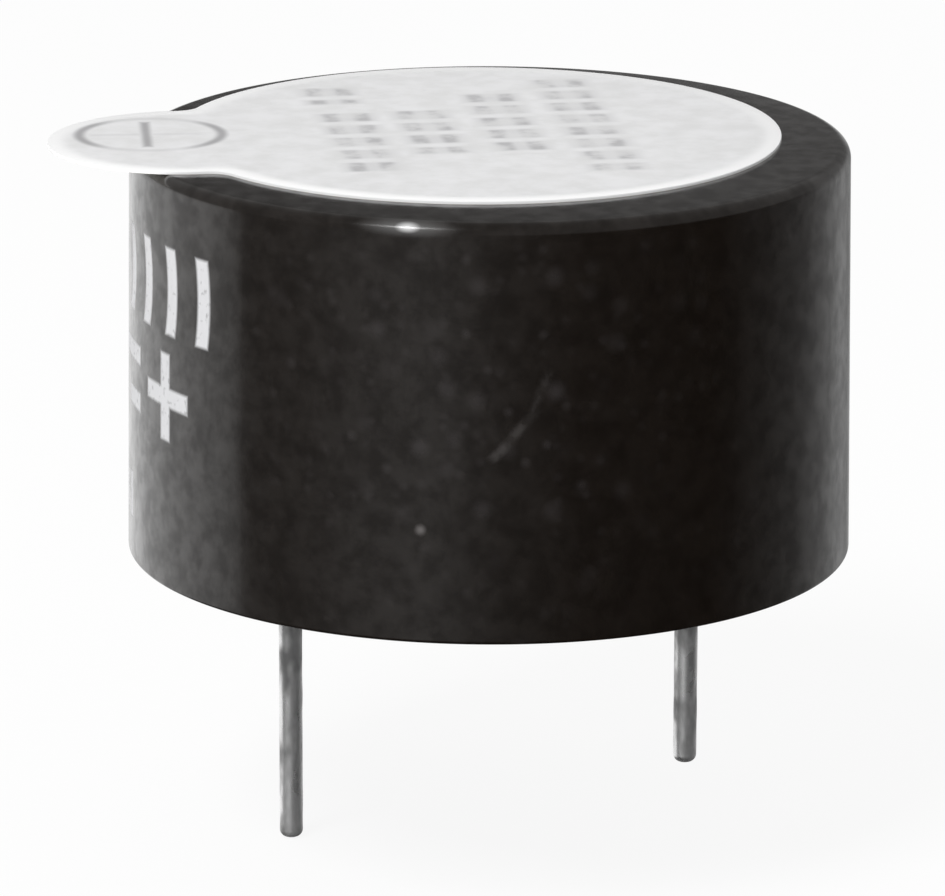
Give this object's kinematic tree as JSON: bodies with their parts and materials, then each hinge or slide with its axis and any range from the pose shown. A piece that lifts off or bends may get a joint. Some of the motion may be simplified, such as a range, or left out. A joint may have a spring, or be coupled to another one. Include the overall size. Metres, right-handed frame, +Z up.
{
  "type": "electronic buzzer",
  "caption": "Round black piezo buzzer for a circuit board, with a peel-off white wash label and a longer positive pin.",
  "frame": {"origin": "centre of the bottom rim, on the plane where the case sits on the host board", "axes": "+Z up towards the sound port and the label, -X towards the positive pin and the label's tab"},
  "size_m": [0.0254, 0.023, 0.0232],
  "materials": {
    "case_plastic": "semi-gloss moulded black",
    "label_film": "matt white film with grey print",
    "tinned_pin": "dull tin plate",
    "sounder_brass": "rolled sheet",
    "sounder_ceramic": "fired, unglazed",
    "fired_silver": "matt fired silver",
    "silicone_bond": "translucent white",
    "board_laminate": "phenolic paper laminate",
    "moulding_compound": "matt black moulding compound",
    "resistor_lacquer": "lacquered, with colour bands",
    "tinned_lead": "bright tin",
    "black_insulation": "smooth",
    "red_insulation": "smooth",
    "blue_insulation": "smooth",
    "solder": "bright solder",
    "resin": "cast epoxy"
  },
  "bodies": {
    "root": {"case": "case_plastic", "wash_label": "label_film", "piezo_plate": "sounder_brass", "piezo_ceramic": "sounder_ceramic", "main_electrode": "fired_silver", "feedback_electrode": "fired_silver", "plate_bond": "silicone_bond", "circuit_board": "board_laminate", "positive_pin": "tinned_pin", "negative_pin": "tinned_pin", "pin_solder": "solder", "transistor_body": "moulding_compound", "transistor_leads": "tinned_lead", "base_resistor": "resistor_lacquer", "base_resistor_leads": "tinned_lead", "collector_resistor": "resistor_lacquer", "collector_resistor_leads": "tinned_lead", "feedback_resistor": "resistor_lacquer", "feedback_resistor_leads": "tinned_lead", "plate_wire": "black_insulation", "main_wire": "red_insulation", "feedback_wire": "blue_insulation", "sounder_solder": "solder", "board_solder": "solder", "potting_resin": "resin"}
  },
  "joints": []
}
